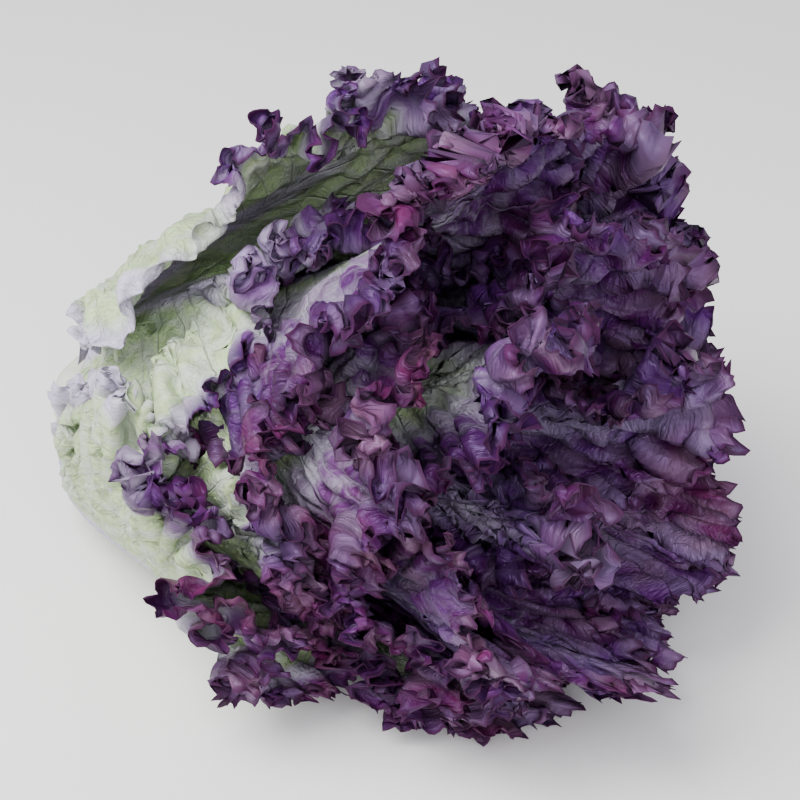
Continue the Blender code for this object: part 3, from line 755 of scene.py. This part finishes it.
for vertex in bm.verts:
    radius, turn, height = vertex.co.xy.length, math.atan2(vertex.co.y, vertex.co.x), vertex.co.z
    vertex[from_middle], vertex[from_cut] = radius / STEM_RADIUS, height
    on_cut = height < CUT_DEPTH
    side = float(ease(radius, 0.010, 0.015)) if on_cut else 1.0
    scar = abs(math.sin(math.pi * (height / SCAR_EVERY + turn / math.pi))) ** 6
    ribs = RIDGE_RISE * math.sin(RIDGES * turn + RIDGE_TWIST * height) - SCAR_RISE * scar
    vertex.co.xy *= 1.0 + side * (ribs - FLESH_SHRINKS) / max(radius, 0.004)
    marks = math.sin(KNIFE_ACROSS * vertex.co.x) * math.sin(KNIFE_ALONG * vertex.co.y)
    vertex.co.z += KNIFE_MARK * marks * on_cut
cut_stem = piece_from("cut_stem", bm)
points = np.array([vertex.co for vertex in cut_stem.data.vertices])
cut_stem.data.vertices.foreach_set("co", laid(points).ravel())

stem_flesh, tree, shader = new_finish("stem_flesh")
place = node(tree, "TexCoord").outputs["Object"]
blotch = noise(tree, place, BLOTCH_SCALE, 5.0)
fibre = noise(tree, place, FIBRE_SCALE, 3.0)
ragged = times(tree, maths(tree, "SUBTRACT", blotch, 0.5), 0.35)
cut_colour = ramp(tree, maths(tree, "ADD", attribute(tree, "from_middle"), ragged), CUT_STOPS)
side_colour = mixed(tree, fade(tree, fibre, 0.3, 0.7, 0.0, 0.5), GREEN_SIDE, LILAC_SIDE)
on_side = fade(tree, attribute(tree, "from_cut"), 0.0006, 0.0018)
tree.links.new(mixed(tree, on_side, cut_colour, side_colour), shader.inputs["Base Color"])
tree.links.new(fade(tree, blotch, 0.3, 0.7, 0.32, 0.55), shader.inputs["Roughness"])
relief = maths(tree, "ADD", blotch, times(tree, fibre, 0.4))
bump = node(tree, "Bump", {"Strength": 0.5, "Distance": 0.0006, "Height": relief})
tree.links.new(bump.outputs[0], shader.inputs["Normal"])
cut_stem.data.materials.append(stem_flesh)
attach(cut_stem, "root")
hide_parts("stem")

# The table: a plain pale sheet of board, matt, and wide enough to have no edge in view. It only carries the
# head, so it is staged and isn't one of the part's pieces.
TABLE_HALF, TABLE_COLOUR, TABLE_ROUGHNESS = 3.0, (0.82, 0.84, 0.74, 1.0), 0.9
bm = bmesh.new()
bmesh.ops.create_grid(bm, x_segments=1, y_segments=1, size=TABLE_HALF)
table = piece_from("table_top", bm)
table_pale, _, shader = new_finish("table_pale")
shader.inputs["Base Color"].default_value = TABLE_COLOUR
shader.inputs["Roughness"].default_value = TABLE_ROUGHNESS
table.data.materials.append(table_pale)

# The camera looks down on the head from the side, across its crown. A large soft lamp stands high at the
# left, a weaker one stands beside the camera, and a pale lilac sky fills in.
CAMERA_AZIMUTH, CAMERA_ELEVATION, CAMERA_DISTANCE = 38.0, 33.0, 0.62
LENS, SHIFT = 90.0, (0.030, -0.070)
LAMP_LILAC, FILL_LILAC, SKY_LILAC = (0.93, 0.90, 1.0), (0.90, 0.86, 1.0), (0.86, 0.82, 1.0, 1.0)
KEY_POWER, FILL_POWER, SKY_STRENGTH = 19.0, 12.0, 0.96
low, high = cad_box
centre = (low + high) / 2
azimuth, elevation = math.radians(CAMERA_AZIMUTH), math.radians(CAMERA_ELEVATION)
level = math.cos(elevation)
back = Vector((math.sin(azimuth) * level, -math.cos(azimuth) * level, math.sin(elevation)))
side = Vector((math.cos(azimuth), math.sin(azimuth), 0.0))
camera = bpy.data.objects.new("camera", bpy.data.cameras.new("camera"))
bpy.context.scene.collection.objects.link(camera)
camera.location = centre + CAMERA_DISTANCE * back
camera.rotation_euler = (-back).to_track_quat("-Z", "Y").to_euler()
camera.data.lens = LENS
camera.data.shift_x, camera.data.shift_y = SHIFT
bpy.context.scene.camera = camera


def lamp(name, direction, distance, size, power, colour):
    """A square soft lamp in that direction from the head, turned to it."""
    light = bpy.data.objects.new(name, bpy.data.lights.new(name, "AREA"))
    light.data.size = size
    light.data.energy = power
    light.data.color = colour
    towards = Vector(direction).normalized()
    light.location = centre + towards * distance
    light.rotation_euler = (-towards).to_track_quat("-Z", "Y").to_euler()
    bpy.context.scene.collection.objects.link(light)


lamp("key", -side * 0.75 + back * 0.4 + Vector((0, 0, 1.0)), 0.9, 0.7, KEY_POWER, LAMP_LILAC)
lamp("fill", side * 0.10 + back, 1.2, 1.0, FILL_POWER, FILL_LILAC)
world = bpy.data.worlds.new("studio")
bpy.context.scene.world = world
world.use_nodes = True
sky = world.node_tree.nodes["Background"].inputs
sky["Color"].default_value = SKY_LILAC
sky["Strength"].default_value = SKY_STRENGTH
